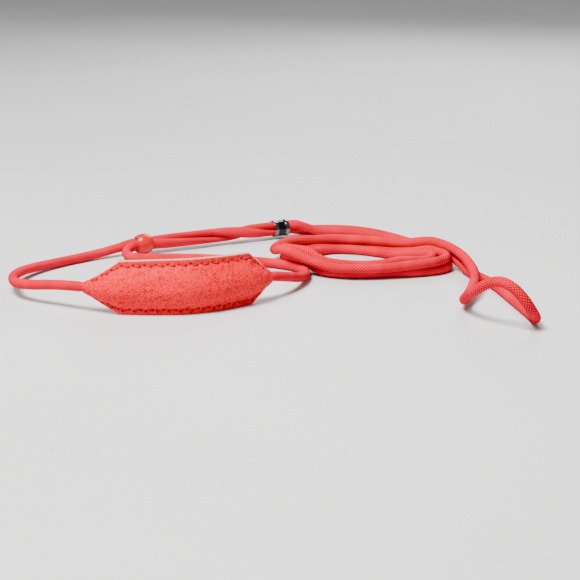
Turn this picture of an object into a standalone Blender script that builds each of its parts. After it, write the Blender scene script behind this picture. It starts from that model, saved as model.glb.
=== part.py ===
"""A thin braided slip lead with a stitched leather throat pad, a sliding bead and a metal ferrule.

One cord runs through everything: it starts inside the pad's left end, goes round the neck loop to the
bead, lies double through the bead and the ferrule, is wound into a flat coil, makes the hand loop and
comes back the same way to the pad's right end. Metres, +Z up, resting on the plane z = 0.
"""

import math

import bmesh
import bpy
from mathutils import Vector

# Driving dimensions
CORD_R = 0.00205
SQUEEZED_R = 0.00155  # a strand where two of them lie pressed together
SQUEEZED_OFFSET = 0.0017
GAP = 0.0003
CORD_STEP = 0.0112
BEND_WEIGHT = 0.016  # the length that a bend of one radian counts for
TUBE_SIDES = 2  # bevel resolution, which makes 8 sides

SLIDE_START = Vector((-0.0261, 0.0329, 0.00475))  # centre of the bead at rest
SLIDE_END = Vector((0.0365, 0.0644, 0.00475))  # centre of the ferrule
BEAD_R = 0.0047
BEAD_HALF = 0.0036  # half its length, from mouth to mouth
BEAD_FULLNESS = 2.3  # 2 would be a plain ball, and more is nearer to a barrel
BEAD_REACH = 0.0050
PAIR_START = -0.0046
BORE_R = 0.00345
FERRULE_HALF = 0.0038
FERRULE_BARREL_R = 0.0037
FERRULE_RIM_R = 0.0040
FERRULE_RIM_W = 0.0019

PAD_HEIGHT = 0.0222
PAD_SHOULDER = 0.0150  # from a tip to where the full height is reached
PAD_CORNER = 0.0110
PAD_TIP_HALF = 0.0021
PAD_LEFT_TIP_Z = 0.0100
PAD_RIGHT_TIP_Z = 0.0094
PAD_FRONT_CROWN = 0.0034
PAD_BACK_CROWN = 0.0026
PAD_TIP_CROWN = 0.0021
PAD_LEAN = 0.0022
OUTER_LEATHER = 0.0012
LINING_LEATHER = 0.0009
SEAM_INSET = 0.0019
UPPER_SEAM_SHARE = 1.38  # the upper seam runs this much further in than the lower one
PAD_BORDER = 0.0026  # the flat edge outside the padding
THREAD_R = 0.00025
THREAD_CLEARANCE = 0.00032
TIP_SEAM = 0.0045  # where the stitching crosses the pad's tips
CORD_IN_PAD = 0.019

COIL_TILT = math.radians(-14)
COIL_HALF_WIDTH = 0.0040
COIL_LAYER = 0.0041  # the height of one layer of wound cord
COIL_ROUNDING = 0.0012
LOWER_TURN = {"centre": Vector((0.0826, 0.0068, 0.0)), "long": 0.0270, "short": 0.0185}
UPPER_TURN = {"centre": Vector((0.0716, 0.0108, COIL_LAYER + GAP)), "long": 0.0385, "short": 0.0230}

# The pad's lower edge seen from above, from its left tip to its right one
PAD_PLAN = [
    (-0.0409, -0.0610, 0.0000),
    (-0.0274, -0.0644, 0.0000),
    (-0.0124, -0.0654, 0.0000),
    (0.0016, -0.0642, 0.0000),
    (0.0136, -0.0588, 0.0000),
    (0.0246, -0.0504, 0.0000),
    (0.0336, -0.0424, 0.0000),
]

# Cord routes, from the pad outwards
NECK_LEFT_ROUTE = [
    (-0.0464, -0.0582, 0.0098),
    (-0.0524, -0.0547, 0.0092),
    (-0.0589, -0.0511, 0.0083),
    (-0.0654, -0.0471, 0.0072),
    (-0.0710, -0.0418, 0.0064),
    (-0.0743, -0.0340, 0.0058),
    (-0.0755, -0.0240, 0.0050),
    (-0.0740, -0.0118, 0.0038),
    (-0.0690, -0.0006, 0.0028),
    (-0.0614, 0.0092, 0.0022),
    (-0.0534, 0.0170, 0.0022),
    (-0.0464, 0.0229, 0.0025),
    (-0.0389, 0.0280, 0.0035),
]
NECK_RIGHT_ROUTE = [
    (0.0372, -0.0382, 0.0084),
    (0.0416, -0.0318, 0.0064),
    (0.0459, -0.0232, 0.0040),
    (0.0482, -0.0132, 0.0024),
    (0.0476, -0.0047, 0.0021),
    (0.0439, 0.0013, 0.0021),
    (0.0372, 0.0060, 0.0021),
    (0.0295, 0.0096, 0.0021),
    (0.0196, 0.0124, 0.0021),
    (0.0096, 0.0144, 0.0021),
    (-0.0004, 0.0160, 0.0021),
    (-0.0124, 0.0166, 0.0021),
    (-0.0210, 0.0164, 0.0021),
    (-0.0266, 0.0168, 0.0021),
    (-0.0300, 0.0180, 0.0022),
    (-0.0323, 0.0204, 0.0026),
    (-0.0331, 0.0235, 0.0032),
    (-0.0323, 0.0264, 0.0040),
]
LEAD_ROUTE = [
    (0.0461, 0.0688, 0.0044),
    (0.0521, 0.0702, 0.0036),
    (0.0596, 0.0704, 0.0027),
    (0.0676, 0.0678, 0.0022),
    (0.0761, 0.0631, 0.0021),
    (0.0851, 0.0558, 0.0021),
    (0.0926, 0.0483, 0.0021),
    (0.0991, 0.0403, 0.0021),
    (0.1036, 0.0328, 0.0021),
    (0.1060, 0.0258, 0.0021),
]
HAND_LOOP_ROUTE = [
    (0.1016, 0.0296, 0.0070),
    (0.1068, 0.0258, 0.0076),
    (0.1111, 0.0204, 0.0083),
    (0.1146, 0.0124, 0.0088),
    (0.1172, 0.0028, 0.0086),
    (0.1188, -0.0072, 0.0081),
    (0.1196, -0.0175, 0.0076),
    (0.1196, -0.0280, 0.0071),
    (0.1180, -0.0388, 0.0060),
    (0.1150, -0.0482, 0.0045),
    (0.1126, -0.0552, 0.0037),
    (0.1116, -0.0632, 0.0064),
    (0.1129, -0.0707, 0.0106),
    (0.1160, -0.0777, 0.0150),
    (0.1191, -0.0817, 0.0180),
    (0.1226, -0.0842, 0.0192),
    (0.1266, -0.0870, 0.0178),
    (0.1304, -0.0890, 0.0144),
    (0.1338, -0.0888, 0.0096),
    (0.1364, -0.0850, 0.0052),
    (0.1372, -0.0787, 0.0029),
    (0.1362, -0.0707, 0.0022),
    (0.1340, -0.0582, 0.0022),
    (0.1310, -0.0422, 0.0022),
    (0.1280, -0.0282, 0.0022),
    (0.1244, -0.0192, 0.0023),
    (0.1210, -0.0117, 0.0026),
    (0.1184, -0.0037, 0.0030),
    (0.1164, 0.0048, 0.0034),
]


def clear_scene():
    for obj in list(bpy.data.objects):
        bpy.data.objects.remove(obj)


def make_material(name, colour, roughness, metallic=0.0):
    material = bpy.data.materials.new(name)
    material.use_nodes = True
    shader = material.node_tree.nodes["Principled BSDF"]
    shader.inputs["Base Color"].default_value = (*colour, 1.0)
    shader.inputs["Roughness"].default_value = roughness
    shader.inputs["Metallic"].default_value = metallic
    return material


def add_object(name, data, material):
    obj = bpy.data.objects.new(name, data)
    data.materials.append(material)
    collection.objects.link(obj)
    return obj


# Smooth curves through hand-chosen points


def curve_point(points, index, t):
    """A Catmull-Rom curve through the points, between points index and index + 1."""
    last = len(points) - 1
    p0, p1 = points[max(index - 1, 0)], points[index]
    p2, p3 = points[min(index + 1, last)], points[min(index + 2, last)]
    linear, square, cube = p2 - p0, 2 * p0 - 5 * p1 + 4 * p2 - p3, 3 * p1 - p0 - 3 * p2 + p3
    return 0.5 * (2 * p1 + linear * t + square * t**2 + cube * t**3)


def fine_line(route, parts=16):
    points = [Vector(p) for p in route]
    line = [curve_point(points, i, k / parts) for i in range(len(points) - 1) for k in range(parts)]
    return line + [points[-1]]


def lengths(line):
    """The distance along the line to each of its points."""
    run = [0.0]
    for a, b in zip(line, line[1:]):
        run.append(run[-1] + (b - a).length)
    return run


def at_length(line, run, distance):
    """The point that far along the line, and the line's direction there."""
    i = 0
    while i < len(run) - 2 and run[i + 1] < distance:
        i += 1
    span = run[i + 1] - run[i]
    direction = (line[i + 1] - line[i]).normalized()
    return line[i] + direction * min(max(distance - run[i], 0.0), span), direction


def cord_points(route):
    """Points along the smooth route: CORD_STEP apart where it is straight, closer together in a bend."""
    line = fine_line(route)
    run = [0.0]
    for i in range(1, len(line)):
        before, after = line[i] - line[i - 1], line[min(i + 1, len(line) - 1)] - line[max(i - 1, 0)]
        run.append(run[-1] + before.length + BEND_WEIGHT * before.angle(after))
    count = max(2, round(run[-1] / CORD_STEP))
    points = []
    for k in range(count + 1):
        target = run[-1] * k / count
        i = max(j for j in range(len(run)) if run[j] <= target + 1e-9)
        share = 0.0 if i == len(run) - 1 else (target - run[i]) / (run[i + 1] - run[i])
        points.append(line[i].lerp(line[min(i + 1, len(line) - 1)], share))
    return points


def beside(points, offset):
    """The points moved sideways, level, by offset: a positive one is to the left of the route."""
    moved = []
    for i, p in enumerate(points):
        along = points[min(i + 1, len(points) - 1)] - points[max(i - 1, 0)]
        along.z = 0.0
        along.normalize()
        moved.append(p + Vector((-along.y, along.x, 0.0)) * offset)
    return moved


def tube(name, points, radius, material, thin=(), sides=TUBE_SIDES):
    """A cord's tube. At the points whose numbers are in thin it is squeezed to the paired strand's size."""
    curve = bpy.data.curves.new(name, "CURVE")
    curve.dimensions = "3D"
    curve.bevel_depth = radius
    curve.bevel_resolution = sides
    curve.use_fill_caps = True
    spline = curve.splines.new("POLY")
    spline.points.add(len(points) - 1)
    for target, p in zip(spline.points, points):
        target.co = (*p, 1.0)
    for index in thin:
        spline.points[index].radius = SQUEEZED_R / CORD_R
    spline.use_smooth = True
    return add_object(name, curve, material)


# The throat pad. A place on it is u along its length, w from its lower edge (0) to its upper one (1).

pad_line = fine_line(PAD_PLAN)
pad_run = lengths(pad_line)
PAD_LENGTH = pad_run[-1]


def smoothstep(x):
    x = min(max(x, 0.0), 1.0)
    return x * x * (3 - 2 * x)


def tip_share(u):
    """0 at either tip, 1 where the pad has its full height."""
    return min(u / PAD_SHOULDER, (PAD_LENGTH - u) / PAD_CORNER, 1.0)


def pad_middle(u):
    """The height of the cord's line inside the pad."""
    return PAD_LEFT_TIP_Z + (PAD_RIGHT_TIP_Z - PAD_LEFT_TIP_Z) * u / PAD_LENGTH


def pad_edges(u):
    """The heights of the pad's lower and upper edges."""
    share = tip_share(u)
    swell = 0.0016 * math.sin(math.pi * u / PAD_LENGTH) - 0.0016
    top = PAD_HEIGHT + swell
    middle = pad_middle(u)
    low = (middle - PAD_TIP_HALF) * (1 - share)
    high = (middle + PAD_TIP_HALF) * (1 - share) + top * share
    return low, high


def crown(u, height, full):
    """How far a panel bulges from the pad's middle surface, at a height above the lower edge."""
    low, high = pad_edges(u)
    share = smoothstep(tip_share(u))
    margin = PAD_BORDER * share
    reach = (high - pad_middle(u) if height > pad_middle(u) else pad_middle(u) - low) - margin
    far = min(abs(height - pad_middle(u)) / reach, 1.0)
    power = 0.5 + 0.9 * share
    return (PAD_TIP_CROWN + (full - PAD_TIP_CROWN) * share) * (1 - far * far) ** power


def pad_point(u, height, off):
    """A point of the pad, off metres in front of its middle surface."""
    foot, along = at_length(pad_line, pad_run, u)
    front = Vector((along.y, -along.x, 0.0)).normalized()
    lean = PAD_LEAN * (max(height - PAD_BORDER, 0.0) / (PAD_HEIGHT - PAD_BORDER)) ** 2
    return foot + front * (off - lean) + Vector((0.0, 0.0, height))


def panel_point(u, height, side, full, lift=0.0):
    """A point on a panel's inner face, or lift metres outwards from it. side is 1 in front, -1 behind."""
    small = 0.0002

    def face(du, dh):
        return pad_point(u + du, height + dh, side * (GAP / 2 + crown(u + du, height + dh, full)))

    outward = (face(small, 0.0) - face(-small, 0.0)).cross(face(0.0, small) - face(0.0, -small))
    return face(0.0, 0.0) + outward.normalized() * lift * side


def panel(name, side, full, thickness, material, columns=40, rows=14):
    """One leather panel: an open surface, given its thickness outwards."""
    mesh = bpy.data.meshes.new(name)
    grid = bmesh.new()
    bmesh.ops.create_grid(grid, x_segments=columns, y_segments=rows, size=0.5)
    for vertex in grid.verts:
        u, row = (vertex.co.x + 0.5) * PAD_LENGTH, round((vertex.co.y + 0.5) * rows)
        low, high = pad_edges(u)
        border = PAD_BORDER * smoothstep(tip_share(u))
        swing = 0.5 - 0.5 * math.cos(math.pi * (row - 1) / (rows - 2))
        height = low + border + (high - low - 2 * border) * swing
        if row in (0, rows):
            height = low if row == 0 else high
        vertex.co = panel_point(u, height, side, full)
    if side < 0:
        bmesh.ops.reverse_faces(grid, faces=grid.faces)
    grid.to_mesh(mesh)
    grid.free()
    mesh.shade_smooth()
    obj = add_object(name, mesh, material)
    solid = obj.modifiers.new("Thickness", "SOLIDIFY")
    solid.thickness = thickness
    solid.offset = 1.0
    return obj


def pad_core(material, columns=18, rows=8):
    """The padding between the panels, between the two cord ends, as a closed lens."""
    start, end = CORD_IN_PAD + 0.003, PAD_LENGTH - CORD_IN_PAD - 0.003
    mesh = bpy.data.meshes.new("pad_foam_core")
    block = bmesh.new()
    bmesh.ops.create_cube(block, size=1.0)
    along = [e for e in block.edges if abs(e.verts[0].co.x - e.verts[1].co.x) > 0.5]
    bmesh.ops.subdivide_edges(block, edges=along, cuts=columns, use_grid_fill=True)
    upright = [e for e in block.edges if abs(e.verts[0].co.z - e.verts[1].co.z) > 0.5]
    bmesh.ops.subdivide_edges(block, edges=upright, cuts=rows, use_grid_fill=True)
    for vertex in block.verts:
        u = start + (end - start) * (vertex.co.x + 0.5)
        low, high = pad_edges(u)
        height = low + (high - low) * (0.5 + 0.56 * vertex.co.z)
        full, side = (PAD_FRONT_CROWN, 1) if vertex.co.y < 0 else (PAD_BACK_CROWN, -1)
        vertex.co = pad_point(u, height, side * (crown(u, height, full) - GAP))
    block.normal_update()
    bmesh.ops.recalc_face_normals(block, faces=block.faces)
    block.to_mesh(mesh)
    block.free()
    mesh.shade_smooth()
    return add_object("pad_foam_core", mesh, material)


def seam_inset(u):
    """How far inside the pad's edge the stitching runs: less at the tips, which have little height."""
    return SEAM_INSET * (0.35 + 0.65 * smoothstep(tip_share(u)))


def seam_path(columns=32, rows=8):
    """(u, height) all round the pad: along the lower edge, up over the right tip, back, and down."""
    first, last = TIP_SEAM, PAD_LENGTH - TIP_SEAM
    ahead = [first + (last - first) * k / columns for k in range(columns + 1)]
    lower = [(u, pad_edges(u)[0] + seam_inset(u)) for u in ahead]
    upper = [(u, pad_edges(u)[1] - UPPER_SEAM_SHARE * seam_inset(u)) for u in reversed(ahead)]

    def over(start, end):
        swing = [0.5 - 0.5 * math.cos(math.pi * k / rows) for k in range(1, rows)]
        return [(start[0], start[1] + (end[1] - start[1]) * s) for s in swing]

    return lower + over(lower[-1], upper[0]) + upper + over(upper[-1], lower[0])


def seam_thread(name, side, full, thickness, material):
    """A line of stitching all round the pad, as one closed ring lying on the leather."""
    lift = thickness + THREAD_R + THREAD_CLEARANCE
    curve = bpy.data.curves.new(name, "CURVE")
    curve.dimensions = "3D"
    curve.bevel_depth = THREAD_R
    curve.bevel_resolution = 1
    spline = curve.splines.new("POLY")
    path = seam_path()
    spline.points.add(len(path) - 1)
    spline.use_cyclic_u = True
    for target, (u, height) in zip(spline.points, path):
        target.co = (*panel_point(u, height, side, full, lift), 1.0)
    return add_object(name, curve, material)


# The cord


def pair_point(distance, offset):
    """A point beside the slide's axis, distance from the bead's rest place towards the ferrule."""
    axis = (SLIDE_END - SLIDE_START).normalized()
    return SLIDE_START + axis * distance + Vector((-axis.y, axis.x, 0.0)) * offset


def in_pad(from_left):
    """The cord's points from its sewn end, inside the pad, to the tip that it leaves by."""
    depths = [CORD_IN_PAD * (1 - k / 3) for k in range(4)]
    places = depths if from_left else [PAD_LENGTH - d for d in depths]
    return [pad_point(u, pad_middle(u), 0.0) for u in places]


def add_cords(material):
    start, end = PAIR_START, (SLIDE_END - SLIDE_START).length + FERRULE_HALF + 0.0012
    necks = (("left", True, NECK_LEFT_ROUTE, 1), ("right", False, NECK_RIGHT_ROUTE, -1))
    for name, from_left, route, offset in necks:
        points = cord_points([*in_pad(from_left), *route])
        points += [pair_point(start - d, offset * SQUEEZED_OFFSET) for d in (0.0026, GAP)]
        tube("cord_neck_" + name, points, CORD_R, material, thin=(0, 1, 2, -2, -1))
    lead = cord_points([pair_point(end + GAP, 0.0), *LEAD_ROUTE])
    for name, offset, spread in (("far", 1, CORD_R), ("near", -1, CORD_R)):
        strand = [pair_point(d, offset * SQUEEZED_OFFSET) for d in (start, end)]
        tube("cord_pair_" + name, strand, SQUEEZED_R, material)
        points = beside(lead, offset * (spread + GAP / 2))
        points[0] = pair_point(end + GAP, offset * SQUEEZED_OFFSET)
        tube("cord_lead_" + name, points, CORD_R, material, thin=[0])
    tube("cord_hand_loop", cord_points(HAND_LOOP_ROUTE), CORD_R, material)


def oval_spline(curve, semi_long, semi_short, count=40):
    spline = curve.splines.new("POLY")
    spline.points.add(count - 1)
    spline.use_cyclic_u = True
    for k, target in enumerate(spline.points):
        turn = 2 * math.pi * k / count
        target.co = (semi_long * math.cos(turn), semi_short * math.sin(turn), 0.0, 1.0)


def add_coil_layer(name, turn, material):
    """The outer shape of one layer of the wound cord: an oval ring, two strands wide and one high."""
    curve = bpy.data.curves.new(name, "CURVE")
    curve.dimensions = "2D"
    curve.fill_mode = "BOTH"
    curve.bevel_depth = COIL_ROUNDING
    curve.bevel_resolution = 1
    curve.offset = -COIL_ROUNDING
    curve.extrude = COIL_LAYER / 2 - COIL_ROUNDING
    for grow in (COIL_HALF_WIDTH, -COIL_HALF_WIDTH):
        oval_spline(curve, turn["long"] + grow, turn["short"] + grow)
    ring = add_object(name, curve, material)
    ring.location = turn["centre"] + Vector((0.0, 0.0, COIL_LAYER / 2))
    ring.rotation_euler = (0.0, 0.0, COIL_TILT)


# The pieces on the cord


def turned(name, profile, place, material, steps=32):
    """A closed profile of (radius, along) turned about the slide's axis, its origin on that axis."""
    mesh = bpy.data.meshes.new(name)
    outline = bmesh.new()
    corners = [outline.verts.new((radius, 0.0, along)) for radius, along in profile]
    for a, b in zip(corners, corners[1:] + corners[:1]):
        outline.edges.new((a, b))
    outline.to_mesh(mesh)
    outline.free()
    obj = add_object(name, mesh, material)
    spin = obj.modifiers.new("Turned", "SCREW")
    spin.steps = steps
    spin.render_steps = steps
    spin.use_merge_vertices = True
    spin.merge_threshold = 0.00001
    spin.use_smooth_shade = True
    axis = (SLIDE_END - SLIDE_START).normalized()
    obj.rotation_euler = axis.to_track_quat("Z", "Y").to_euler()
    obj.location = place
    return obj


def arc(radius, centre, start, end, count):
    """Points of an arc as (radius, along), with angles in degrees from the turned radius."""
    angles = [math.radians(start + (end - start) * k / count) for k in range(count + 1)]
    return [(centre[0] + radius * math.cos(a), centre[1] + radius * math.sin(a)) for a in angles]


def bead_outline(count=10):
    """The bead's outer curve as (radius, along): a slightly barrelled ball, cut off at its two mouths."""
    outline = []
    for k in range(count + 1):
        along = BEAD_HALF * math.cos(math.pi * k / count)
        share = (abs(along) / BEAD_REACH) ** BEAD_FULLNESS
        outline.append((BEAD_R * (1 - share) ** (1 / BEAD_FULLNESS), along))
    return outline


def add_bead(material):
    mouths = [(BORE_R, -BEAD_HALF), (BORE_R, BEAD_HALF)]
    turned("slider_bead", bead_outline() + mouths, SLIDE_START, material)


def add_ferrule(material):
    """A short metal barrel, with a rounded rim rolled outwards at each end."""
    rim = (FERRULE_RIM_R - BORE_R) / 2
    centre = BORE_R + rim
    flank = FERRULE_HALF - FERRULE_RIM_W
    top = arc(rim, (centre, FERRULE_HALF - rim), 180, 0, 6) + [(FERRULE_RIM_R, flank + rim / 2)]
    top += [(FERRULE_BARREL_R, flank)]
    bottom = [(radius, -along) for radius, along in reversed(top)]
    turned("ferrule", top + bottom, SLIDE_END, material)


clear_scene()
collection = bpy.data.collections.new("braided_slip_lead")
bpy.context.scene.collection.children.link(collection)

cord = make_material("cord", (0.72, 0.03, 0.03), 0.75)
leather = make_material("pad_leather", (0.70, 0.05, 0.045), 0.55)
lining = make_material("pad_lining", (0.62, 0.06, 0.05), 0.7)
foam = make_material("pad_foam", (0.85, 0.80, 0.70), 0.9)
thread = make_material("thread", (0.55, 0.02, 0.02), 0.6)
bead = make_material("bead", (0.80, 0.06, 0.03), 0.15)
metal = make_material("ferrule_metal", (0.62, 0.62, 0.64), 0.12, metallic=1.0)

panel("pad_outer_leather", 1, PAD_FRONT_CROWN, OUTER_LEATHER, leather)
panel("pad_lining_leather", -1, PAD_BACK_CROWN, LINING_LEATHER, lining)
pad_core(foam)
seam_thread("seam_needle_thread", 1, PAD_FRONT_CROWN, OUTER_LEATHER, thread)
seam_thread("seam_bobbin_thread", -1, PAD_BACK_CROWN, LINING_LEATHER, thread)
add_cords(cord)
add_coil_layer("cord_coil_lower", LOWER_TURN, cord)
add_coil_layer("cord_coil_upper", UPPER_TURN, cord)
add_bead(bead)
add_ferrule(metal)
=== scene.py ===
"""Looks of a thin braided slip lead with a stitched leather throat pad, a sliding bead and a metal ferrule."""

import math

import bpy
import numpy as np
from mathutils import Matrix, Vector, noise


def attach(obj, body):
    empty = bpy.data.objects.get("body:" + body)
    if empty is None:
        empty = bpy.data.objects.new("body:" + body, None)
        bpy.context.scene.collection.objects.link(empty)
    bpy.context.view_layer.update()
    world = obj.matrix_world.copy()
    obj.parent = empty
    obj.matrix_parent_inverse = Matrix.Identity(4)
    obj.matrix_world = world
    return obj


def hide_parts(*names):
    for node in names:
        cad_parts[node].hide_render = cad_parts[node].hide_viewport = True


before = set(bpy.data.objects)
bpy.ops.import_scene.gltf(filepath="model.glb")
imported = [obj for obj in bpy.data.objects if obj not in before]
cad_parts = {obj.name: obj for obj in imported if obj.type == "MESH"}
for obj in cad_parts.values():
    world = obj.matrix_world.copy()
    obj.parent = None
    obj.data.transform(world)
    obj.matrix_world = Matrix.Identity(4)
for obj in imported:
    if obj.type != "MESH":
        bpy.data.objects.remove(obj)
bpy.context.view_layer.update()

# Dimensions that repeat the CAD model's, in metres
CORD_R = 0.00205
PAIR_OFFSET = 0.00165
PAIR_SQUEEZE = 1.66 / 2.05
SLIDE_START = np.array((-0.0261, 0.0329, 0.00475))
SLIDE_END = np.array((0.0365, 0.0644, 0.00475))
BEAD_R = 0.0047
BEAD_HALF = 0.0036
BEAD_FULLNESS = 2.3
BEAD_REACH = 0.0050
BORE_R = 0.00345
FERRULE_HALF = 0.0038
FERRULE_BARREL_R = 0.0037
FERRULE_RIM_R = 0.0040
FERRULE_RIM_W = 0.0019
PAD_HEIGHT = 0.0222
PAD_SHOULDER = 0.0150
PAD_CORNER = 0.0110
PAD_TIP_HALF = 0.0019
PAD_LEFT_TIP_Z = 0.0100
PAD_RIGHT_TIP_Z = 0.0094
PAD_TIP_CROWN = 0.0019
PAD_LEAN = 0.0022
PAD_BORDER = 0.0026
SEAM_INSET = 0.0019
UPPER_SEAM_SHARE = 1.38
TIP_SEAM = 0.0036
CORD_IN_PAD = 0.019
GAP = 0.0003
PANELS = {
    "outer": {"side": 1, "full": 0.0034, "thickness": 0.0012},
    "lining": {"side": -1, "full": 0.0026, "thickness": 0.0009},
}
PAD_PLAN = [
    (-0.0409, -0.0610, 0.0),
    (-0.0274, -0.0644, 0.0),
    (-0.0124, -0.0654, 0.0),
    (0.0016, -0.0642, 0.0),
    (0.0136, -0.0588, 0.0),
    (0.0246, -0.0504, 0.0),
    (0.0336, -0.0424, 0.0),
]

# The cord's route, outwards from the pad
NECK_LEFT_ROUTE = [
    (-0.0464, -0.0582, 0.0098),
    (-0.0524, -0.0547, 0.0092),
    (-0.0589, -0.0511, 0.0083),
    (-0.0654, -0.0471, 0.0072),
    (-0.0710, -0.0418, 0.0064),
    (-0.0743, -0.0340, 0.0058),
    (-0.0755, -0.0240, 0.0050),
    (-0.0740, -0.0118, 0.0038),
    (-0.0690, -0.0006, 0.0028),
    (-0.0614, 0.0092, 0.0022),
    (-0.0534, 0.0170, 0.0022),
    (-0.0464, 0.0229, 0.0025),
    (-0.0389, 0.0280, 0.0035),
]
NECK_RIGHT_ROUTE = [
    (0.0372, -0.0382, 0.0084),
    (0.0416, -0.0318, 0.0064),
    (0.0459, -0.0232, 0.0040),
    (0.0482, -0.0132, 0.0024),
    (0.0476, -0.0047, 0.0021),
    (0.0439, 0.0013, 0.0021),
    (0.0372, 0.0060, 0.0021),
    (0.0295, 0.0096, 0.0021),
    (0.0196, 0.0124, 0.0021),
    (0.0096, 0.0144, 0.0021),
    (-0.0004, 0.0160, 0.0021),
    (-0.0124, 0.0166, 0.0021),
    (-0.0210, 0.0164, 0.0021),
    (-0.0266, 0.0168, 0.0021),
    (-0.0300, 0.0180, 0.0022),
    (-0.0323, 0.0204, 0.0026),
    (-0.0331, 0.0235, 0.0032),
    (-0.0323, 0.0264, 0.0040),
]
LEAD_ROUTE = [
    (0.0461, 0.0688, 0.0044),
    (0.0540, 0.0712, 0.0034),
    (0.0620, 0.0716, 0.0026),
    (0.0700, 0.0700, 0.0021),
    (0.0776, 0.0662, 0.0021),
    (0.0846, 0.0602, 0.0021),
    (0.0908, 0.0528, 0.0021),
    (0.0962, 0.0448, 0.0021),
    (0.1006, 0.0366, 0.0021),
    (0.1042, 0.0282, 0.0021),
]
OUTER_STRAND = [
    (0.1092, 0.0180, 0.0021),
    (0.1118, 0.0095, 0.0021),
    (0.1112, 0.0020, 0.0021),
    (0.1072, -0.0038, 0.0021),
    (0.0980, -0.0074, 0.0021),
    (0.0900, -0.0088, 0.0021),
    (0.0820, -0.0096, 0.0021),
    (0.0740, -0.0103, 0.0021),
    (0.0667, -0.0104, 0.0022),
    (0.0590, -0.0080, 0.0028),
    (0.0520, -0.0042, 0.0042),
    (0.0455, 0.0008, 0.0058),
    (0.0402, 0.0056, 0.0062),
    (0.0388, 0.0118, 0.0060),
    (0.0418, 0.0205, 0.0048),
    (0.0480, 0.0300, 0.0034),
    (0.0570, 0.0362, 0.0023),
    (0.0665, 0.0376, 0.0021),
    (0.0765, 0.0350, 0.0022),
    (0.0860, 0.0295, 0.0032),
    (0.0945, 0.0228, 0.0048),
    (0.1030, 0.0190, 0.0058),
    (0.1088, 0.0135, 0.0062),
    (0.1112, 0.0060, 0.0062),
    (0.1096, -0.0012, 0.0062),
    (0.1044, -0.0056, 0.0061),
    (0.0970, -0.0084, 0.0059),
    (0.0880, -0.0106, 0.0057),
    (0.0790, -0.0122, 0.0056),
    (0.0700, -0.0128, 0.0056),
    (0.0610, -0.0118, 0.0062),
    (0.0530, -0.0085, 0.0078),
    (0.0456, -0.0025, 0.0092),
    (0.0394, 0.0052, 0.0096),
    (0.0354, 0.0125, 0.0082),
    (0.0345, 0.0200, 0.0068),
    (0.0378, 0.0278, 0.0068),
    (0.0450, 0.0335, 0.0070),
    (0.0550, 0.0367, 0.0070),
    (0.0650, 0.0370, 0.0071),
    (0.0755, 0.0348, 0.0073),
    (0.0850, 0.0310, 0.0075),
    (0.0935, 0.0264, 0.0078),
    (0.1005, 0.0222, 0.0086),
]
INNER_STRAND = [
    (0.1050, 0.0156, 0.0021),
    (0.1076, 0.0092, 0.0021),
    (0.1070, 0.0036, 0.0021),
    (0.1036, -0.0006, 0.0021),
    (0.0966, -0.0032, 0.0021),
    (0.0890, -0.0046, 0.0021),
    (0.0820, -0.0054, 0.0021),
    (0.0740, -0.0061, 0.0021),
    (0.0672, -0.0062, 0.0022),
    (0.0606, -0.0040, 0.0028),
    (0.0546, -0.0006, 0.0042),
    (0.0490, 0.0034, 0.0056),
    (0.0446, 0.0076, 0.0062),
    (0.0436, 0.0130, 0.0060),
    (0.0462, 0.0186, 0.0050),
    (0.0512, 0.0264, 0.0036),
    (0.0585, 0.0322, 0.0024),
    (0.0670, 0.0334, 0.0021),
    (0.0765, 0.0308, 0.0022),
    (0.0860, 0.0253, 0.0032),
    (0.0945, 0.0198, 0.0048),
    (0.1000, 0.0180, 0.0058),
    (0.1042, 0.0146, 0.0062),
    (0.1058, 0.0100, 0.0062),
    (0.1042, 0.0052, 0.0062),
    (0.0998, 0.0012, 0.0062),
    (0.0930, -0.0024, 0.0060),
    (0.0840, -0.0064, 0.0057),
    (0.0760, -0.0083, 0.0056),
    (0.0680, -0.0086, 0.0057),
    (0.0610, -0.0076, 0.0064),
    (0.0550, -0.0046, 0.0080),
    (0.0496, 0.0000, 0.0092),
    (0.0442, 0.0066, 0.0095),
    (0.0402, 0.0134, 0.0082),
    (0.0388, 0.0205, 0.0064),
    (0.0412, 0.0285, 0.0050),
    (0.0470, 0.0355, 0.0044),
    (0.0560, 0.0404, 0.0046),
    (0.0660, 0.0408, 0.0047),
    (0.0760, 0.0382, 0.0048),
    (0.0850, 0.0336, 0.0047),
    (0.0935, 0.0286, 0.0047),
    (0.1010, 0.0240, 0.0052),
]
HAND_ROUTE = [
    (0.1062, 0.0182, 0.0092),
    (0.1110, 0.0130, 0.0092),
    (0.1152, 0.0060, 0.0086),
    (0.1178, -0.0028, 0.0080),
    (0.1190, -0.0120, 0.0077),
    (0.1196, -0.0210, 0.0074),
    (0.1195, -0.0296, 0.0069),
    (0.1180, -0.0390, 0.0060),
    (0.1150, -0.0482, 0.0045),
    (0.1126, -0.0552, 0.0037),
    (0.1116, -0.0632, 0.0064),
    (0.1129, -0.0707, 0.0106),
    (0.1160, -0.0777, 0.0150),
    (0.1191, -0.0817, 0.0180),
    (0.1226, -0.0842, 0.0192),
    (0.1266, -0.0870, 0.0178),
    (0.1304, -0.0890, 0.0144),
    (0.1338, -0.0888, 0.0096),
    (0.1364, -0.0850, 0.0052),
    (0.1372, -0.0787, 0.0029),
    (0.1362, -0.0707, 0.0022),
    (0.1340, -0.0582, 0.0022),
    (0.1310, -0.0422, 0.0022),
    (0.1280, -0.0282, 0.0022),
    (0.1244, -0.0192, 0.0023),
    (0.1210, -0.0112, 0.0026),
    (0.1182, -0.0020, 0.0032),
    (0.1150, 0.0084, 0.0042),
    (0.1090, 0.0180, 0.0048),
]

rng = np.random.default_rng(7)


# Curves and meshes


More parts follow.
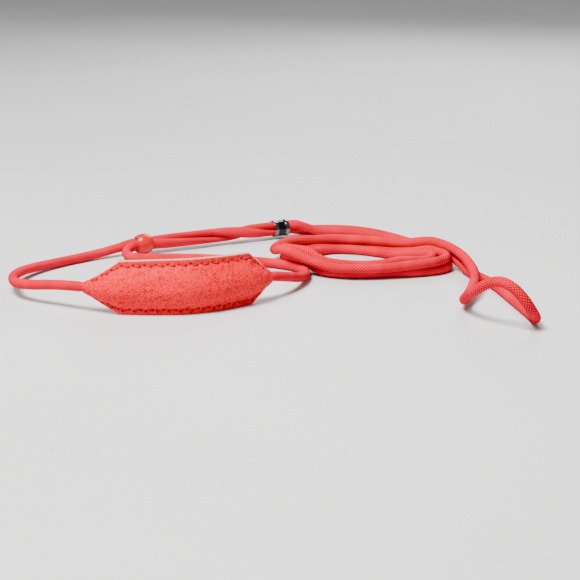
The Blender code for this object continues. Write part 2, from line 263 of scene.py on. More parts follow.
def through(points, step):
    """A smooth line through the points, resampled at equal steps along its length."""
    p = np.asarray(points, float)
    n = len(p)
    t = np.linspace(0, 1, 17)[:-1, None]
    fine = []
    for i in range(n - 1):
        a, b, c, d = p[max(i - 1, 0)], p[i], p[i + 1], p[min(i + 2, n - 1)]
        fine.append(
            0.5 * (2 * b + (c - a) * t + (2 * a - 5 * b + 4 * c - d) * t**2 + (3 * b - a - 3 * c + d) * t**3)
        )
    fine = np.concatenate([*fine, p[-1:]])
    run = run_of(fine)
    count = max(2, int(round(run[-1] / step)))
    return at(fine, run, np.linspace(0, run[-1], count + 1))


def run_of(line):
    return np.concatenate([[0.0], np.cumsum(np.linalg.norm(np.diff(line, axis=0), axis=1))])


def at(line, run, distances):
    return np.stack([np.interp(distances, run, line[:, k]) for k in range(line.shape[1])], 1)


def directions(line):
    d = np.gradient(line, axis=0)
    return d / np.linalg.norm(d, axis=1)[:, None]


def unit(v):
    return v / np.maximum(np.linalg.norm(v, axis=-1, keepdims=True), 1e-12)


def frames(line):
    """Two directions across the line at each of its points, turning as little as they can."""
    tangent = directions(line)
    side = np.empty_like(line)
    side[0] = unit(np.cross((0.0, 0.0, 1.0), tangent[0]))
    for i in range(len(line) - 1):
        v1 = line[i + 1] - line[i]
        c1 = v1 @ v1
        r = side[i] - (2 / c1) * (v1 @ side[i]) * v1
        t = tangent[i] - (2 / c1) * (v1 @ tangent[i]) * v1
        v2 = tangent[i + 1] - t
        c2 = v2 @ v2
        side[i + 1] = r if c2 < 1e-18 else r - (2 / c2) * (v2 @ r) * v2
    return tangent, side, np.cross(tangent, side)


def mesh_object(name, points, faces, smooth=True):
    mesh = bpy.data.meshes.new(name)
    mesh.from_pydata([tuple(p) for p in points], [], [tuple(int(i) for i in f) for f in faces])
    mesh.validate()
    mesh.polygons.foreach_set("use_smooth", [smooth] * len(mesh.polygons))
    mesh.update()
    obj = bpy.data.objects.new(name, mesh)
    bpy.context.scene.collection.objects.link(obj)
    return obj


def grid_faces(rows, columns, wrap=False, flip=False, start=0):
    """Quads of a grid of rows x columns points; wrap joins the last column to the first."""
    i, j = np.meshgrid(np.arange(rows - 1), np.arange(columns if wrap else columns - 1), indexing="ij")
    i, j = i.ravel(), j.ravel()
    k = (j + 1) % columns
    quads = np.stack([i * columns + j, i * columns + k, (i + 1) * columns + k, (i + 1) * columns + j], 1)
    return start + (quads[:, ::-1] if flip else quads)


def point_attribute(obj, name, values):
    layer = obj.data.attributes.new(name, "FLOAT", "POINT")
    layer.data.foreach_set("value", np.asarray(values, np.float32))


# The throat pad's shape, on arrays of places: u along its length, height above the floor

pad_line = through(PAD_PLAN, 0.0004)
pad_run = run_of(pad_line)
pad_forward = directions(pad_line)
PAD_LENGTH = pad_run[-1]


def smoothstep(x):
    x = np.clip(x, 0.0, 1.0)
    return x * x * (3 - 2 * x)


def tip_share(u):
    return np.minimum(np.minimum(u / PAD_SHOULDER, (PAD_LENGTH - u) / PAD_CORNER), 1.0)


def pad_middle(u):
    return PAD_LEFT_TIP_Z + (PAD_RIGHT_TIP_Z - PAD_LEFT_TIP_Z) * u / PAD_LENGTH


def pad_edges(u):
    share = tip_share(u)
    top = PAD_HEIGHT + 0.0016 * np.sin(np.pi * u / PAD_LENGTH) - 0.0016
    middle = pad_middle(u)
    return (middle - PAD_TIP_HALF) * (1 - share), (middle + PAD_TIP_HALF) * (1 - share) + top * share


def crown(u, height, full):
    low, high = pad_edges(u)
    share = smoothstep(tip_share(u))
    middle = pad_middle(u)
    reach = np.where(height > middle, high - middle, middle - low) - PAD_BORDER * share
    far = np.clip(np.abs(height - middle) / np.maximum(reach, 1e-5), 0.0, 1.0)
    return (PAD_TIP_CROWN + (full - PAD_TIP_CROWN) * share) * (1 - far * far) ** (0.5 + 0.9 * share)


def pad_point(u, height, off):
    foot = at(pad_line, pad_run, u)
    along = at(pad_forward, pad_run, u)
    front = unit(np.stack([along[:, 1], -along[:, 0], np.zeros(len(foot))], 1))
    lean = PAD_LEAN * (np.maximum(height - PAD_BORDER, 0.0) / (PAD_HEIGHT - PAD_BORDER)) ** 2
    return foot + front * (off - lean)[:, None] + np.stack([0 * u, 0 * u, height], 1)


def panel_point(u, height, panel, lift):
    """Points lift metres outwards from the panel's inner face."""
    side, full, small = panel["side"], panel["full"], 0.0002

    def face(du, dh):
        return pad_point(u + du, height + dh, side * (GAP / 2 + crown(u + du, height + dh, full)))

    outward = np.cross(face(small, 0.0) - face(-small, 0.0), face(0.0, small) - face(0.0, -small))
    return face(0.0, 0.0) + unit(outward) * (side * np.broadcast_to(lift, u.shape))[:, None]


def seam_paths(columns=240):
    """(u, height) along the two seams, a little inside the pad's lower and upper edges."""
    u = np.linspace(TIP_SEAM, PAD_LENGTH - TIP_SEAM, columns + 1)
    inset = SEAM_INSET * (0.45 + 0.55 * smoothstep(tip_share(u)))
    low, high = pad_edges(u)
    return np.stack([u, low + inset], 1), np.stack([u, high - UPPER_SEAM_SHARE * inset], 1)


# Materials


class Shader:
    """A material under construction: nodes are added by short calls and linked by their sockets."""

    def __init__(self, name, **constants):
        self.material = bpy.data.materials.new(name)
        self.material.use_nodes = True
        self.tree = self.material.node_tree
        self.shader = self.tree.nodes["Principled BSDF"]
        for socket, value in constants.items():
            self.shader.inputs[socket.replace("_", " ")].default_value = value

    def node(self, kind, operation=None, **settings):
        made = self.tree.nodes.new(kind)
        if operation:
            made.operation = operation
        for key, value in settings.items():
            setattr(made, key, value)
        return made

    def feed(self, socket, value):
        if isinstance(value, bpy.types.NodeSocket):
            self.tree.links.new(value, socket)
        else:
            socket.default_value = value

    def math(self, operation, *values, clamp=False):
        made = self.node("ShaderNodeMath", operation, use_clamp=clamp)
        for socket, value in zip(made.inputs, values):
            self.feed(socket, value)
        return made.outputs[0]

    def attribute(self, name):
        return self.node("ShaderNodeAttribute", attribute_name=name).outputs["Fac"]

    def noise(self, scale, detail=4.0, roughness=0.55, stretch=(1, 1, 1), distortion=0.0):
        place = self.node("ShaderNodeMapping")
        place.inputs["Scale"].default_value = stretch
        coordinates = self.node("ShaderNodeTexCoord")
        self.feed(place.inputs["Vector"], coordinates.outputs["Object"])
        made = self.node("ShaderNodeTexNoise")
        self.feed(made.inputs["Vector"], place.outputs[0])
        for key, value in (("Scale", scale), ("Detail", detail), ("Roughness", roughness), ("Distortion", distortion)):
            made.inputs[key].default_value = value
        return made.outputs["Fac"]

    def cells(self, scale, feature="F1", output="Distance", randomness=1.0):
        coordinates = self.node("ShaderNodeTexCoord")
        made = self.node("ShaderNodeTexVoronoi", feature=feature)
        self.feed(made.inputs["Vector"], coordinates.outputs["Object"])
        made.inputs["Scale"].default_value = scale
        made.inputs["Randomness"].default_value = randomness
        return made.outputs[output]

    def span(self, value, low, high, to_low=0.0, to_high=1.0):
        made = self.node("ShaderNodeMapRange")
        for socket, number in zip(made.inputs, (value, low, high, to_low, to_high)):
            self.feed(socket, number)
        return made.outputs[0]

    def mix(self, share, a, b, blend="MIX"):
        made = self.node("ShaderNodeMix", data_type="RGBA", blend_type=blend)
        self.feed(made.inputs[0], share)
        for socket, value in ((made.inputs[6], a), (made.inputs[7], b)):
            self.feed(socket, (*value, 1.0) if isinstance(value, tuple) else value)
        return made.outputs[2]

    def bump(self, height, distance, strength=1.0):
        made = self.node("ShaderNodeBump")
        made.inputs["Strength"].default_value = strength
        made.inputs["Distance"].default_value = distance
        self.feed(made.inputs["Height"], height)
        self.feed(self.shader.inputs["Normal"], made.outputs[0])

    def set(self, socket, value):
        self.feed(self.shader.inputs[socket], value)
        return self


def cord_material():
    s = Shader("braided_cord")
    s.shader.inputs["Specular IOR Level"].default_value = 0.03
    place = s.node("ShaderNodeUVMap", uv_map="braid").outputs[0]
    parts = s.node("ShaderNodeSeparateXYZ")
    s.feed(parts.inputs[0], place)
    ring, side = parts.outputs[0], parts.outputs[1]
    a = s.math("MULTIPLY", s.math("ADD", ring, side), 0.5)
    b = s.math("MULTIPLY", s.math("SUBTRACT", ring, side), 0.5)
    across_a = s.math("ABSOLUTE", s.math("SUBTRACT", s.math("FRACT", a), 0.5))
    across_b = s.math("ABSOLUTE", s.math("SUBTRACT", s.math("FRACT", b), 0.5))
    family = s.math("MODULO", s.math("ADD", s.math("FLOOR", a), s.math("FLOOR", b)), 2.0)
    family = s.math("ABSOLUTE", family)

    def pick(one, other):
        return s.math("ADD", s.math("MULTIPLY", one, family), s.math("MULTIPLY", other, s.math("SUBTRACT", 1.0, family)))

    across = pick(across_a, across_b)
    along = pick(across_b, across_a)
    hill = s.math("SUBTRACT", 1.0, s.math("MULTIPLY", s.math("POWER", across, 2.0), 3.6))
    dive = s.math("SUBTRACT", 1.0, s.math("MULTIPLY", s.math("POWER", along, 3.0), 5.0))
    yarn = s.math("MULTIPLY", hill, dive, clamp=True)
    fibre = s.math("SINE", s.math("MULTIPLY", pick(a, b), 31.0))
    fuzz = s.noise(2600.0, detail=3.0)
    soft = s.noise(90.0, detail=2.0)
    # Colour darkens where the yarn dips between crossings of the braid: painted shade in the crevices; the fuzz noise
    # adds random fibre tone.
    crevice_shade_and_fuzz = s.math("ADD", s.math("MULTIPLY", yarn, 0.86), s.math("MULTIPLY", fuzz, 0.30))
    colour = s.mix(s.span(crevice_shade_and_fuzz, 0.25, 1.05), (0.14, 0.0, 0.002), (1.0, 0.0, 0.034))
    colour = s.mix(s.span(soft, 0.42, 0.66, 0.0, 0.30), colour, (1.0, 0.006, 0.055))
    s.set("Base Color", colour)
    s.set("Roughness", s.span(yarn, 0.0, 1.0, 0.85, 0.58))
    height = s.math("ADD", yarn, s.math("MULTIPLY", fibre, 0.10))
    s.bump(s.math("ADD", height, s.math("MULTIPLY", fuzz, 0.35)), 0.00014, 0.8)
    return s.material


def leather_material(name, colour, deep, scale, suede=0.0):
    s = Shader(name, Sheen_Weight=0.06 * suede, Sheen_Roughness=0.5, Sheen_Tint=(1.0, 0.3, 0.35, 1.0))
    s.shader.inputs["Specular IOR Level"].default_value = 0.07 - 0.04 * suede
    pores = s.cells(scale)
    fine = s.noise(scale * 2.2, detail=5.0)
    broad = s.noise(70.0, detail=3.0)
    edge, stitch_shade, grain = s.attribute("edge"), s.attribute("stitch_shade"), s.attribute("grain")
    # Darker towards the grain's crevices: painted shade, mixed with random tone from the fine noise.
    body = s.mix(s.span(s.math("ADD", grain, s.math("MULTIPLY", fine, 0.5)), 0.30, 0.85), deep, colour)
    body = s.mix(s.span(broad, 0.35, 0.7, 0.0, 0.35), body, tuple(min(1.0, c + 0.01) for c in colour))
    # Darker at the stitch holes and along the stitches: painted shade.
    body = s.mix(s.math("MULTIPLY", stitch_shade, 0.8, clamp=True), body, tuple(c * 0.30 for c in deep))
    # The cut edge gets its own paler colour, kept mostly to the top edge: a painted highlight where light catches that
    # edge, over the raw edge's real paler tone.
    rim = s.span(s.math("ADD", edge, s.math("MULTIPLY", s.math("SUBTRACT", fine, 0.5), 0.7)), 0.42, 0.72)
    raw = s.mix(s.span(s.noise(5200.0, detail=3.0), 0.38, 0.60), (0.70, 0.10, 0.09), (1.0, 0.52, 0.48))
    s.set("Base Color", s.mix(rim, body, raw))
    s.set("Roughness", s.math("ADD", s.span(fine, 0.3, 0.7, 0.46 + 0.3 * suede, 0.62 + 0.3 * suede), s.math("MULTIPLY", rim, 0.3)))
    height = s.math("ADD", s.span(pores, 0.05, 0.55, 0.55, 0.0), s.math("MULTIPLY", fine, 0.5))
    s.bump(height, 0.00010, 0.6)
    return s.material


def thread_material():
    s = Shader("stitching_thread")
    s.shader.inputs["Specular IOR Level"].default_value = 0.06
    twist = s.noise(3000.0, detail=2.0)
    # The thread is coloured darker than the leather: painted shade of the thread sunk into the leather; the twist
    # noise varies its tone.
    s.set("Base Color", s.mix(s.span(twist, 0.3, 0.7), (0.46, 0.0, 0.007), (0.74, 0.001, 0.013)))
    s.set("Roughness", s.span(twist, 0.3, 0.7, 0.5, 0.7))
    s.bump(twist, 0.00005, 0.6)
    return s.material


def bead_material():
    s = Shader("lacquered_bead", Coat_Weight=0.12, Coat_Roughness=0.2)
    s.shader.inputs["Specular IOR Level"].default_value = 0.3
    cloud = s.noise(260.0, detail=3.0)
    scuff = s.noise(900.0, detail=6.0, stretch=(1, 1, 4))
    s.set("Base Color", s.mix(s.span(cloud, 0.3, 0.7), (0.50, 0.0, 0.0), (0.62, 0.0, 0.001)))
    s.set("Roughness", s.span(scuff, 0.45, 0.75, 0.24, 0.38))
    s.bump(cloud, 0.00005, 0.25)
    return s.material


def metal_material():
    s = Shader("polished_ferrule", Metallic=1.0)
    # The base colours are painted dark: the near-black barrel and dimmed rims stand in for a reflection of dark
    # surroundings, and the wear noise only mottles that painted reflection.
    wear = s.noise(700.0, detail=6.0, roughness=0.65)
    lines = s.noise(500.0, detail=4.0, stretch=(1, 1, 9))
    rim = s.attribute("rim")
    painted_dark_barrel = s.mix(s.span(wear, 0.35, 0.65), (0.012, 0.012, 0.014), (0.040, 0.038, 0.040))
    s.set("Base Color", s.mix(rim, painted_dark_barrel, (0.16, 0.15, 0.15)))
    s.set("Roughness", s.math("ADD", s.span(lines, 0.35, 0.7, 0.10, 0.26), s.math("MULTIPLY", rim, -0.05)))
    s.bump(lines, 0.00002, 0.3)
    return s.material


def floor_material():
    s = Shader("pale_floor")
    s.shader.inputs["Specular IOR Level"].default_value = 0.25
    cloud = s.noise(6.0, detail=3.0)
    s.set("Base Color", s.mix(s.span(cloud, 0.3, 0.7), (0.60, 0.595, 0.59), (0.64, 0.637, 0.635)))
    s.set("Roughness", s.span(cloud, 0.3, 0.7, 0.55, 0.65))
    return s.material


def wear(obj, material, slot):
    obj.data.materials.clear()
    obj.data.materials.append(material)


# The cord: one length, from inside the pad's left end round to inside its right end

axis = unit(SLIDE_END - SLIDE_START)
across = np.array((-axis[1], axis[0], 0.0))
upward = np.array((0.0, 0.0, 1.0))
TWIST_AT = [-0.010, 0.004, 0.036, 0.050, 0.062, 0.078, 0.092]
TWIST = np.radians([0, 8, 88, 168, 248, 308, 360])
PAIR_PLACES = np.arange(-0.00465, 0.0765, 0.0045)


def pair_place(distance, far):
    turn = np.interp(distance, TWIST_AT, TWIST) + (0.0 if far else math.pi)
    return SLIDE_START + axis * distance + PAIR_OFFSET * (math.cos(turn) * across + math.sin(turn) * upward)


def beside_lead(sign):
    line = np.array(LEAD_ROUTE)
    d = unit(np.gradient(line, axis=0) * (1, 1, 0))
    left = np.stack([-d[:, 1], d[:, 0], 0 * d[:, 0]], 1)
    turn = np.interp((line - SLIDE_START) @ axis, TWIST_AT, TWIST)[:, None]
    return line + sign * 0.00213 * (np.cos(turn) * left + np.sin(turn) * upward)


def in_pad(from_left):
    depth = CORD_IN_PAD * (1 - np.arange(4) / 3)
    u = depth if from_left else PAD_LENGTH - depth
    return pad_point(u, pad_middle(u), 0 * u)


def planned_cord(step):
    """The planned line of the whole cord, how firmly each place keeps to it, and whether it is squeezed."""
    parts = [
        (in_pad(True), 1.0, 0.0),
        (NECK_LEFT_ROUTE, 1.0, 0.0),
        ([pair_place(d, True) for d in PAIR_PLACES], 1.0, 1.0),
        (beside_lead(1), 0.0, 0.0),
        (OUTER_STRAND, 0.0, 0.0),
        (HAND_ROUTE, 0.3, 0.0),
        (INNER_STRAND[::-1], 0.0, 0.0),
        (beside_lead(-1)[::-1], 0.0, 0.0),
        ([pair_place(d, False) for d in PAIR_PLACES[::-1]], 1.0, 1.0),
        (NECK_RIGHT_ROUTE[::-1], 1.0, 0.0),
        (in_pad(False)[::-1], 1.0, 0.0),
    ]
    rows = [np.column_stack([p, np.full(len(p), firm), np.full(len(p), pressed)]) for p, firm, pressed in parts]
    route = np.concatenate(rows)
    line = through(route[:, :3], 0.0005)
    places = run_of(line)
    nearest = [int(np.argmin(((line - p) ** 2).sum(1))) for p in route[:, :3]]
    order = np.maximum.accumulate(follow(line, route[:, :3], nearest))
    firm = np.interp(places, places[order], route[:, 3])
    pressed = np.interp(places, places[order], route[:, 4])
    keep = np.linspace(0, len(line) - 1, int(round(places[-1] / step)) + 1).round().astype(int)
    return line[keep], firm[keep], pressed[keep]


def follow(line, points, nearest):
    """The index on the line of each route point, searched for only a little ahead of the one before."""
    found, last = [], 0
    for p, guess in zip(points, nearest):
        stretch = line[last : last + 90]
        last += int(np.argmin(((stretch - p) ** 2).sum(1)))
        found.append(last)
    return np.array(found)


def settled_cord(step=0.002, rounds=240):
    """The planned line, let lie: it sinks, keeps smooth, and its strands push each other apart."""
    plan, firm, pressed = planned_cord(step)
    x, free = plan.copy(), firm < 0.5
    pull = np.where(firm > 0.2, 0.07, 0.022)[:, None]
    count, apart = len(x), 2 * CORD_R + 0.00008
    index = np.arange(count)
    for turn in range(rounds):
        x[free] += ((plan - x) * pull)[free]
        x[free, 2] -= 0.00003
        for _ in range(2):
            bend = np.zeros_like(x)
            bend[2:-2] = (-x[:-4] + 4 * x[1:-3] + 4 * x[3:-1] - x[4:]) / 6 - x[2:-2]
            x[free] += 0.5 * bend[free]
        if turn % 8 == 0:
            gap = np.linalg.norm(x[:, None] - x[None], axis=2)
            one, other = np.nonzero((gap < 0.0075) & (np.abs(index[:, None] - index[None]) > 4))
        d = x[one] - x[other]
        r = np.linalg.norm(d, axis=1)
        hit = (r < apart) & (r > 1e-7)
        push = np.zeros_like(x)
        hits = np.zeros(count)
        np.add.at(push, one[hit], d[hit] / r[hit, None] * (apart - r[hit])[:, None] * 0.5)
        np.add.at(hits, one[hit], 1)
        push *= 1.4 / np.maximum(hits, 1)[:, None]
        x[free] += push[free]
        x[:, 2] = np.maximum(x[:, 2], CORD_R + 0.00006)
    return x, pressed


def sewn_share(line):
    """How much of its thickness the cord has: less where it is sewn flat inside the pad."""
    run = run_of(line)
    inside = np.minimum(run, run[-1] - run)
    return 0.76 + 0.24 * smoothstep((inside - CORD_IN_PAD + 0.0008) / 0.0032)


def make_cord(sides=40, spacing=0.00068, relief=0.00012):
    rough, pressed = settled_cord()
    places = run_of(rough)
    line = through(rough, spacing)
    share = np.interp(np.linspace(0, 1, len(line)), places / places[-1], pressed)
    tangent, one, other = frames(line)
    angle = 2 * np.pi * np.arange(sides) / sides
    ring = np.cos(angle)[None, :, None] * one[:, None] + np.sin(angle)[None, :, None] * other[:, None]
    yarns = (-1.0) ** np.arange(len(line))[:, None] * np.cos(np.pi * np.arange(sides) / 2)[None]
    radius = (CORD_R + relief * yarns) * sewn_share(line)[:, None]
    offset = ring * radius[:, :, None]
    towards = (line - SLIDE_START) - ((line - SLIDE_START) @ axis)[:, None] * axis
    towards = unit(towards)[:, None]
    amount = ((1 - PAIR_SQUEEZE) * smoothstep(share))[:, None, None]
    inward = (offset * towards).sum(2, keepdims=True) * towards
    level = (offset * tangent[:, None]).sum(2, keepdims=True) * tangent[:, None]
    offset += 0.20 * smoothstep(share)[:, None, None] * (offset - inward - level) - amount * inward
    points = (line[:, None] + offset).reshape(-1, 3)
    points[:, 2] = np.maximum(points[:, 2], 0.00002)
    faces = grid_faces(len(line), sides, wrap=True, flip=True)
    ends = [tuple(range(sides)), tuple(len(points) - sides + k for k in reversed(range(sides)))]
    obj = mesh_object("braided_cord", points, [*faces.tolist(), *ends])
    uv = obj.data.uv_layers.new(name="braid")
    vertex = np.empty(len(obj.data.loops), np.int32)
    obj.data.loops.foreach_get("vertex_index", vertex)
    ring_number, side_number = vertex // sides, vertex % sides
    polygon_size = np.array([len(p.vertices) for p in obj.data.polygons])
    owner = np.repeat(np.arange(len(polygon_size)), polygon_size)
    highest = np.zeros(len(polygon_size), int)
    np.maximum.at(highest, owner, side_number)
    lowest = np.full(len(polygon_size), sides)
    np.minimum.at(lowest, owner, side_number)
    wrapped = (highest[owner] == sides - 1) & (lowest[owner] == 0) & (side_number == 0) & (polygon_size[owner] == 4)
    side_number = np.where(wrapped, sides, side_number)
    uv.data.foreach_set("uv", np.stack([ring_number, side_number / 2], 1).astype(np.float32).ravel())
    return obj, line


# The pad


def skived(u, panel):
    """The panel's thickness, which is pared down towards the pad's two ends."""
    return panel["thickness"] * (0.42 + 0.58 * smoothstep(tip_share(u) * 1.6))


def stitch_places(panel, pitch=0.0044, length=0.0026):
    """The two ends of every stitch on this face of the pad, as (u, height) pairs."""
    first, last = [], []
    for path, slant in zip(seam_paths(), (1, -1)):
        real = panel_point(path[:, 0], path[:, 1], panel, panel["thickness"])
        run = run_of(real)
        count = int(run[-1] / pitch)
        starts = np.arange(count) * run[-1] / count + (0.0004 if panel["side"] > 0 else pitch / 2)
        starts = starts[starts + length < run[-1]]
        tilt = np.array((0.0, 0.00034 * slant))
        first.append(at(path, run, starts) - tilt)
        last.append(at(path, run, starts + length) + tilt)
    return np.concatenate(first), np.concatenate(last)


def distance_to(points, places):
    return np.sqrt(((points[:, None] - places[None]) ** 2).sum(2)).min(1)


def edge_fibres(panel, start, count=230):
    """Loose fibres that stand out of the raw upper edge, as thin closed tubes."""
    u = rng.uniform(0.004, PAD_LENGTH - 0.004, count)
    high = pad_edges(u)[1]
    depth = rng.uniform(0.15, 0.85, count) * skived(u, panel)
    root = panel_point(u, high - 0.00018, panel, depth)
    lean = rng.normal(0.0, 0.55, (count, 3)) + (0.0, 0.0, 1.0)
    bend = rng.normal(0.0, 0.5, (count, 3))
    reach = rng.uniform(0.00028, 0.00085, count)[:, None]
    points, faces = [], []
    for k in range(count):
        t = np.linspace(0, 1, 4)[:, None]
        line = root[k] + reach[k] * (t * unit(lean[k]) + 0.5 * t * t * bend[k])
        _, one, other = frames(line)
        angle = np.pi * np.arange(4) / 2
        ring = np.cos(angle)[None, :, None] * one[:, None] + np.sin(angle)[None, :, None] * other[:, None]
        radius = 0.000028 * (1.15 - t)[:, :, None]
        points.append((line[:, None] + ring * radius).reshape(-1, 3))
        first = start + 16 * k
        faces += grid_faces(4, 4, wrap=True, flip=True, start=first).tolist()
        faces += [(first, first + 1, first + 2, first + 3), (first + 15, first + 14, first + 13, first + 12)]
    return np.concatenate(points), faces


def make_panel(name, panel, columns=400, rows=104):
    u = np.linspace(0, PAD_LENGTH, columns)
    w = 0.5 - 0.5 * np.cos(np.linspace(0, np.pi, rows))
    w = 0.45 * w + 0.55 * np.linspace(0, 1, rows)
    uu, ww = np.meshgrid(u, w, indexing="ij")
    low, high = pad_edges(u)
    hh = low[:, None] + (high - low)[:, None] * ww
    flat_u, flat_h = uu.ravel(), hh.ravel()
    inner = panel_point(flat_u, flat_h, panel, 0.0)
    place = np.stack([flat_u, flat_h], 1)
    first, last = stitch_places(panel)
    holes = distance_to(place, np.concatenate([first, last]))
    bars = np.concatenate([first + (last - first) * t for t in (0.15, 0.38, 0.62, 0.85)])
    under = distance_to(place, bars)
    seam = distance_to(place, np.concatenate(seam_paths()))
    hole = np.exp(-((holes / 0.00050) ** 2))
    bar = np.exp(-((under / 0.00042) ** 2))
    valley = np.exp(-((seam / 0.0014) ** 2))
    edge_gap = np.minimum(flat_h - np.repeat(low, rows), np.repeat(high, rows) - flat_h)
    edge_gap = np.minimum(edge_gap, np.minimum(flat_u, PAD_LENGTH - flat_u))
    grain, broad = np.empty(len(place)), np.empty(len(place))
    for k, (a, b) in enumerate(place):
        spot = Vector((a * 800, b * 1220, 3.0 * panel["side"]))
        spot += 0.7 * noise.noise_vector(spot * 0.7)
        near = noise.voronoi(spot)[0]
        pebble = min((near[1] - near[0]) * 2.6, 1.0) ** 0.8
        grain[k] = 0.72 * pebble + 0.28 * (0.5 + 0.5 * noise.noise(spot * 2.3))
        broad[k] = noise.fractal(Vector((a * 150, b * 210, 9.0 * panel["side"])), 0.6, 2.0, 3)
    inside = smoothstep((seam - 0.0004) / 0.0025) * smoothstep(edge_gap / 0.0034)
    body = skived(flat_u, panel)
    lift = body + 0.00013 * (grain - 0.8) * smoothstep(edge_gap / 0.0008)
    lift += 0.00026 * broad * inside
    lift -= 0.00032 * hole + 0.00016 * bar + 0.00016 * valley * (1 - bar)
    pucker = np.sin(2 * np.pi * np.interp(flat_u, (0, PAD_LENGTH), (0, PAD_LENGTH / 0.0043)) + 0.8)
    lift += 0.00010 * pucker * np.exp(-(((seam - 0.0018) / 0.0012) ** 2)) * (edge_gap > 0.0022)
    lift -= body * 0.25 * np.exp(-((edge_gap / 0.00035) ** 2))
    lift = np.maximum(lift, 0.00030)
    outer = panel_point(flat_u, flat_h, panel, lift)
    count = len(outer)
    points = np.concatenate([outer, inner])
    facing = panel["side"] > 0
    faces = [*grid_faces(columns, rows, flip=not facing), *grid_faces(columns, rows, flip=facing, start=count)]
    border = [i * rows for i in range(columns)] + [(columns - 1) * rows + j for j in range(1, rows)]
    border += [i * rows + rows - 1 for i in reversed(range(columns - 1))] + [j for j in reversed(range(1, rows - 1))]
    middle = []
    levels = 3
    ring_start = len(points)
    for level in range(1, levels):
        t = level / levels
        ragged = 1 + 0.25 * rng.standard_normal(len(border))
        bulge = 0.00010 * math.sin(math.pi * t) * ragged
        base = outer[border] * (1 - t) + inner[border] * t
        out = unit(outer[border] - np.roll(outer[border], 1, axis=0))
        thick = unit(outer[border] - inner[border])
        away = np.cross(out, thick)
        middle.append(base + away * bulge[:, None])
    points = np.concatenate([points, *middle])
    fibre_start = len(points)
    fibre_points, fibre_faces = edge_fibres(panel, fibre_start)
    points = np.concatenate([points, fibre_points])
    faces += fibre_faces
    rings = [border] + [list(range(ring_start + k * len(border), ring_start + (k + 1) * len(border))) for k in range(levels - 1)]
    rings.append([b + count for b in border])
    for top, bottom in zip(rings, rings[1:]):
        for k in range(len(border)):
            n = (k + 1) % len(border)
            quad = (top[k], bottom[k], bottom[n], top[n])
            faces.append(quad if facing else quad[::-1])
    obj = mesh_object(name, points, [tuple(f) for f in faces])
    extra = len(points) - count
    fibres = len(fibre_points)
    # The pale edge colour is strongest along the top edge and weak along the bottom: a painted highlight over the cut
    # edge's own paler tone.
    upper = smoothstep((flat_h - pad_middle(flat_u)) / 0.0012)
    upper *= smoothstep((np.minimum(flat_u, PAD_LENGTH - flat_u) - 0.0008) / 0.002)
    on_edge = np.exp(-((edge_gap / 0.00060) ** 2)) * upper
    cut = 0.30 + 0.70 * upper[border]
    point_attribute(obj, "edge", np.concatenate([on_edge, np.zeros(count), np.tile(cut, levels - 1), np.ones(fibres)]))
    # Painted shade at the stitch holes and under the stitches, for the leather's colour.
    point_attribute(obj, "stitch_shade", np.concatenate([np.clip(hole * 1.4 + bar * 0.25, 0, 1), np.zeros(extra)]))
    # The grain value also darkens the leather's colour in its crevices: painted shade.
    point_attribute(obj, "grain", np.concatenate([grain, np.full(extra, 0.5)]))
    return obj


def make_stitches(name, panel, radius=0.00021, rings=13, sides=10):
    first, last = stitch_places(panel)
    t = np.linspace(0, 1, rings)
    angle = 2 * np.pi * np.arange(sides) / sides
    points, faces = [], []
    for a, b in zip(first, last):
        place = a + (b - a) * t[:, None]
        lift = skived(place[:, 0], panel) - 0.00036 + 0.00026 * np.sin(np.pi * t) ** 0.6
        lift -= 0.0006 * (smoothstep((0.14 - t) / 0.14) + smoothstep((t - 0.86) / 0.14))
        line = panel_point(place[:, 0], place[:, 1], panel, lift)
        _, one, other = frames(line)
        ply = 1 + 0.16 * np.cos(2 * (angle[None] - 9.0 * t[:, None]))
        ring = np.cos(angle)[None, :, None] * one[:, None] + np.sin(angle)[None, :, None] * other[:, None]
        start = len(points) * rings * sides
        points.append((line[:, None] + ring * (radius * ply)[:, :, None]).reshape(-1, 3))
        faces += grid_faces(rings, sides, wrap=True, flip=True, start=start).tolist()
        faces += [tuple(start + k for k in range(sides))]
        faces += [tuple(start + (rings - 1) * sides + k for k in reversed(range(sides)))]
    return mesh_object(name, np.concatenate(points), faces)


# The turned pieces


def arc(radius, centre, start, end, count):
    angles = np.radians(np.linspace(start, end, count + 1))
    return [(centre[0] + radius * math.cos(a), centre[1] + radius * math.sin(a)) for a in angles]


def turned(name, profile, place, steps=96):
    """A closed profile of (radius, along) turned about the slide's axis."""
    profile = np.array(profile)
    angle = 2 * np.pi * np.arange(steps) / steps
    ring = np.cos(angle)[:, None] * across + np.sin(angle)[:, None] * upward
    points = place + profile[None, :, 1, None] * axis + profile[None, :, 0, None] * ring[:, None]
    count = len(profile)
    faces = []
    for i in range(steps):
        for j in range(count):
            k, n = (i + 1) % steps, (j + 1) % count
            faces.append((i * count + j, i * count + n, k * count + n, k * count + j))
    return mesh_object(name, points.reshape(-1, 3), faces)


def make_bead():
    """A slightly barrelled ball with softly rounded mouths, which the two strands fill."""
    mouth = BORE_R - 0.00004
    body = []
    for k in range(53):
        along = BEAD_HALF * math.cos(math.pi * k / 52)
        share = (abs(along) / BEAD_REACH) ** BEAD_FULLNESS
        body.append((BEAD_R * (1 - share) ** (1 / BEAD_FULLNESS), along))
    edge = body[-1][0]
    ring = (edge - mouth) / 2
    low = arc(ring, (mouth + ring, -BEAD_HALF), -12, -180, 10)
    high = arc(ring, (mouth + ring, BEAD_HALF), 180, 12, 10)
    return turned("sliding_bead", [*body, *low, *high], SLIDE_START)


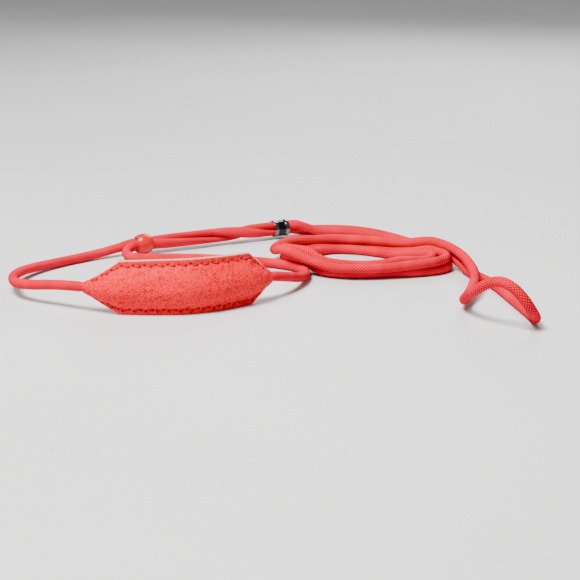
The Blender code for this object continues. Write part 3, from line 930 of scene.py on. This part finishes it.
def make_ferrule():
    rim = (FERRULE_RIM_R - BORE_R) / 2
    centre = BORE_R + rim
    flank = FERRULE_HALF - FERRULE_RIM_W
    top = arc(rim, (centre, FERRULE_HALF - rim), 180, 0, 16)
    top += [(FERRULE_RIM_R, flank + rim * 0.9), (FERRULE_RIM_R - 0.00006, flank + rim * 0.45)]
    top += [(FERRULE_BARREL_R + 0.00012, flank + 0.00008), (FERRULE_BARREL_R, flank - 0.00012)]
    barrel = [(FERRULE_BARREL_R + 0.00010 * math.cos(t * math.pi / 2), t * (flank - 0.0004)) for t in (0.7, 0.35)]
    waist = [(FERRULE_BARREL_R + 0.0001, 0.0)]
    bottom = [(radius, -along) for radius, along in reversed(top + barrel)]
    obj = turned("ferrule_polished", top + barrel + waist + bottom, SLIDE_END)
    points = np.array([v.co for v in obj.data.vertices])
    along = np.abs((points - SLIDE_END) @ axis)
    point_attribute(obj, "rim", smoothstep((along - flank + 0.0001) / 0.0003))
    return obj


# Building

cord_look = cord_material()
cord_obj, cord_line = make_cord()
wear(cord_obj, cord_look, "cord")
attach(cord_obj, "lead")
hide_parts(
    "cord_neck_left",
    "cord_neck_right",
    "cord_pair_far",
    "cord_pair_near",
    "cord_lead_far",
    "cord_lead_near",
    "cord_coil_lower",
    "cord_coil_upper",
    "cord_hand_loop",
)

outer_look = leather_material("pad_leather", (0.86, 0.0, 0.014), (0.24, 0.0, 0.002), 1900.0)
lining_look = leather_material("lining_leather", (0.92, 0.004, 0.022), (0.50, 0.002, 0.008), 2400.0, suede=0.8)
thread_look = thread_material()
outer = make_panel("throat_pad_leather", PANELS["outer"])
wear(outer, outer_look, "leather")
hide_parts("pad_outer_leather", "pad_foam_core")
lining = make_panel("throat_pad_lining", PANELS["lining"], columns=250, rows=66)
wear(lining, lining_look, "lining")
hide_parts("pad_lining_leather")
needle = make_stitches("needle_stitches", PANELS["outer"])
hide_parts("seam_needle_thread")
bobbin = make_stitches("bobbin_stitches", PANELS["lining"])
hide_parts("seam_bobbin_thread")
for obj in (needle, bobbin):
    wear(obj, thread_look, "thread")
for obj in (outer, lining, needle, bobbin):
    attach(obj, "lead")

bead = make_bead()
wear(bead, bead_material(), "bead")
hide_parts("slider_bead")
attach(bead, "slider")

ferrule = make_ferrule()
wear(ferrule, metal_material(), "ferrule")
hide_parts("ferrule")
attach(ferrule, "lead")

# Floor, light and camera

n = 24
grid = np.stack(np.meshgrid(np.linspace(-3, 3, n), np.linspace(-3, 3, n), indexing="ij"), -1).reshape(-1, 2)
floor = mesh_object("floor", np.column_stack([grid, np.full(len(grid), -0.00015)]), grid_faces(n, n, flip=True))
floor.data.materials.append(floor_material())

world = bpy.data.worlds.new("studio")
bpy.context.scene.world = world
world.use_nodes = True
world.node_tree.nodes["Background"].inputs["Color"].default_value = (0.93, 0.95, 1.0, 1.0)
world.node_tree.nodes["Background"].inputs["Strength"].default_value = 0.32


def area_light(name, place, target, size, power, colour=(1.0, 1.0, 1.0)):
    data = bpy.data.lights.new(name, "AREA")
    data.shape = "DISK"
    data.size = size
    data.energy = power
    data.color = colour
    obj = bpy.data.objects.new(name, data)
    obj.location = place
    obj.rotation_euler = (Vector(target) - Vector(place)).to_track_quat("-Z", "Y").to_euler()
    bpy.context.scene.collection.objects.link(obj)


area_light("key", (-0.24, -0.30, 0.80), (0.03, -0.01, 0.0), 0.40, 25.0, (1.0, 0.98, 0.97))
area_light("back", (0.25, 0.75, 0.55), (0.03, 0.0, 0.0), 0.5, 7.0)

camera_data = bpy.data.cameras.new("camera")
camera_data.lens = 93.1
camera_data.sensor_width = 36.0
camera_data.clip_start = 0.01
camera = bpy.data.objects.new("camera", camera_data)
camera.location = (0.0416, -0.6402, 0.171)
camera.rotation_euler = (math.pi / 2 - math.atan(0.28), 0.0, 0.0)
bpy.context.scene.collection.objects.link(camera)
bpy.context.scene.camera = camera
